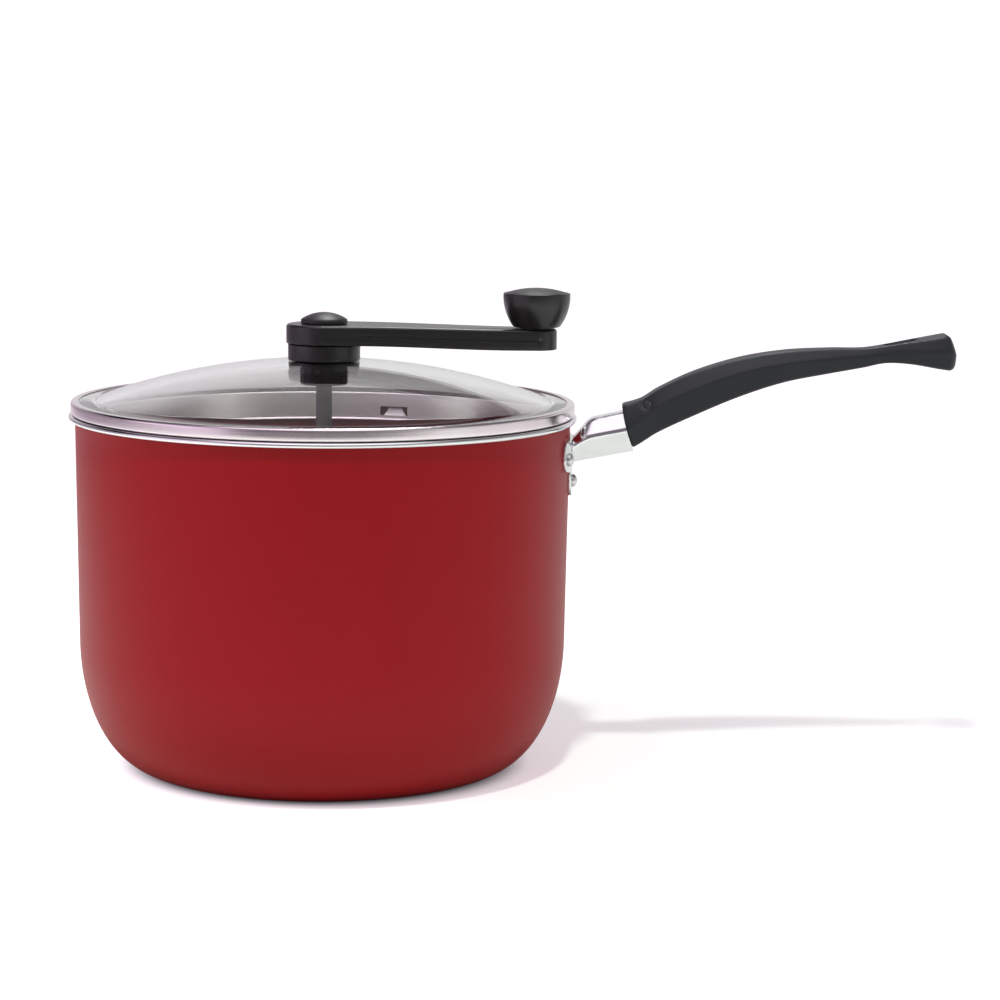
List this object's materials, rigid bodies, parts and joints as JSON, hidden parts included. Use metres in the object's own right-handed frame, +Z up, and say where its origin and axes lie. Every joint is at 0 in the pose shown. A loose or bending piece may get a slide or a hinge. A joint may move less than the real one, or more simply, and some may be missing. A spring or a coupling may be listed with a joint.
{
  "type": "stovetop popcorn popper",
  "caption": "Deep straight-sided saucepan with one long handle and a domed glass lid, whose hand crank turns wire stirrers on the pot's floor.",
  "frame": {"origin": "centre of the pot's flat base, on the surface that it stands on", "axes": "+Z up along the pot's axis, +X along the handle, and along the crank arm at rest"},
  "size_m": [0.3962, 0.2278, 0.2173],
  "materials": {
    "pot_enamel": "satin red baked enamel outside, dark non-stick lining inside, bare polished rim",
    "polished_steel": "polished stainless steel sheet",
    "rivet_metal": "bright upset rivet heads",
    "tang_steel": "plain steel",
    "blackened_steel": "black oxide finish",
    "black_phenolic": "satin moulded phenolic with soft tooling marks",
    "lid_glass": "clear tempered glass",
    "silicone": "translucent grey silicone",
    "black_silicone": "matt black silicone",
    "crank_plastic": "fine satin moulded black nylon",
    "white_nylon": "natural nylon",
    "shaft_steel": "drawn steel rod, dull grey",
    "stirrer_steel": "drawn stainless wire and turned hub",
    "zinc_steel": "zinc plated fastener"
  },
  "bodies": {
    "pot": {"pot_body": "pot_enamel", "handle_bracket": "polished_steel", "bracket_rivets": "rivet_metal", "handle_tang": "tang_steel", "handle_grip": "black_phenolic", "grip_pin": "blackened_steel"},
    "lid": {"lid_glass": "lid_glass", "lid_gasket": "silicone", "lid_ring": "polished_steel", "bearing_boss": "crank_plastic", "boss_gasket": "black_silicone", "nut_gasket": "black_silicone", "boss_nut": "crank_plastic", "upper_bush": "white_nylon", "lower_bush": "white_nylon", "thrust_washer": "white_nylon"},
    "crank": {"drive_shaft": "shaft_steel", "crank_arm": "crank_plastic", "crank_washer": "zinc_steel", "crank_screw": "zinc_steel", "crank_cap": "crank_plastic", "stirrer_hub": "stirrer_steel", "stirrer_pin": "zinc_steel", "stirrer_wire_long": "stirrer_steel", "stirrer_wire_short": "stirrer_steel", "knob_axle": "zinc_steel", "knob_washer": "crank_plastic", "knob_push_nut": "zinc_steel"},
    "knob": {"knob_body": "crank_plastic", "knob_insert": "crank_plastic"}
  },
  "joints": [
    {"name": "lid_lift", "type": "slide", "parent": "pot", "child": "lid", "axis": [0, 0, 1], "range_m": [0, 0.2]},
    {"name": "crank_turn", "type": "hinge", "parent": "lid", "child": "crank", "pos_m": [0, 0, 0.1912], "axis": [0, 0, 1], "continuous": true},
    {"name": "knob_spin", "type": "hinge", "parent": "crank", "child": "knob", "pos_m": [0.0952, 0, 0.2005], "axis": [0, 0, 1], "continuous": true}
  ]
}
